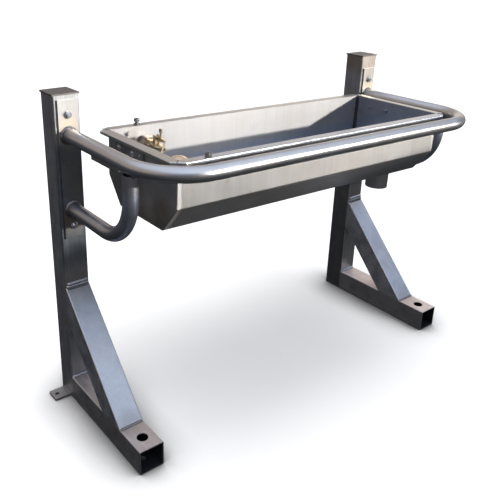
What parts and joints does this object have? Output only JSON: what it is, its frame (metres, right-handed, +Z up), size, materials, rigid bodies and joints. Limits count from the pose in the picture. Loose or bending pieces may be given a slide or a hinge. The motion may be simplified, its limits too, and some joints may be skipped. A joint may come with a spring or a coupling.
{
  "type": "floor-standing trough sink",
  "caption": "Stainless trough sink on square-tube stands, with a bent guard rail, hooked stays, float valve and drain socket.",
  "frame": {"origin": "on the floor, in the middle of the footprint (anchor tabs, bolt ends and rail included)", "axes": "+X along the trough towards the drain end, +Y back to the posts, +Z up"},
  "size_m": [1.4748, 0.6, 1.011],
  "materials": {
    "stand_tube": "mill-finish stainless square tube, lightly brushed",
    "stand_plate": "mill-finish stainless plate",
    "rail_tube": "satin-polished stainless tube",
    "trough_sheet": "satin stainless sheet",
    "fastener": "plain stainless fasteners",
    "valve_brass": "cast and turned brass",
    "valve_nut_metal": "dull grey nut",
    "float_copper": "spun copper float, dull",
    "seal_rubber": "black rubber washer",
    "plug_rubber": "black rubber bung"
  },
  "bodies": {
    "stand_and_trough": {"left_post": "stand_tube", "left_foot": "stand_tube", "left_brace": "stand_tube", "left_post_cap": "stand_plate", "left_anchor_tab": "stand_plate", "left_mounting_plate": "stand_plate", "left_stay_tube": "rail_tube", "left_end_wall": "trough_sheet", "left_trough_bracket": "stand_plate", "right_post": "stand_tube", "right_foot": "stand_tube", "right_brace": "stand_tube", "right_post_cap": "stand_plate", "right_anchor_tab": "stand_plate", "right_mounting_plate": "stand_plate", "right_stay_tube": "rail_tube", "right_end_wall": "trough_sheet", "right_trough_bracket": "stand_plate", "plate_bolts": "fastener", "plate_washers": "fastener", "plate_nuts": "fastener", "guard_rail": "rail_tube", "trough_shell": "trough_sheet", "trough_rim": "trough_sheet", "drain_socket": "stand_plate", "bracket_bolts": "fastener", "bracket_washers": "fastener", "bracket_nuts": "fastener", "bracket_screws": "fastener", "cover_studs": "fastener", "cover_nuts": "fastener", "valve_body": "valve_brass", "valve_seal": "seal_rubber", "valve_nut": "valve_nut_metal", "valve_back_nut": "valve_brass", "lever_pin": "fastener"},
    "float_arm": {"float_lever": "valve_brass", "lever_adjuster": "valve_brass", "float_rod": "valve_brass", "float_ball": "float_copper", "rod_nut": "valve_brass"},
    "piston": {"valve_piston": "valve_brass", "piston_washer": "seal_rubber"},
    "plug": {"drain_bung": "plug_rubber", "plug_plate": "fastener"},
    "plug_ring": {"pull_ring": "fastener"}
  },
  "joints": [
    {"name": "float_hinge", "type": "hinge", "parent": "stand_and_trough", "child": "float_arm", "pos_m": [-0.41817, 0.09, 0.87282], "axis": [-0.9997, 0, 0.0254], "range_deg": [0, 8]},
    {"name": "piston_slide", "type": "slide", "parent": "stand_and_trough", "child": "piston", "axis": [0, -1, 0], "range_m": [0, 0.0036]},
    {"name": "plug_lift", "type": "slide", "parent": "stand_and_trough", "child": "plug", "axis": [0.0254, 0, 0.9997], "range_m": [0, 0.15]},
    {"name": "ring_hinge", "type": "hinge", "parent": "plug", "child": "plug_ring", "pos_m": [0.48517, -0.018, 0.67782], "axis": [0, -1, 0], "range_deg": [0, 160]}
  ],
  "couplings": [
    {"joint": "piston_slide", "follows": "float_hinge", "m_per_rad": 0.025}
  ]
}
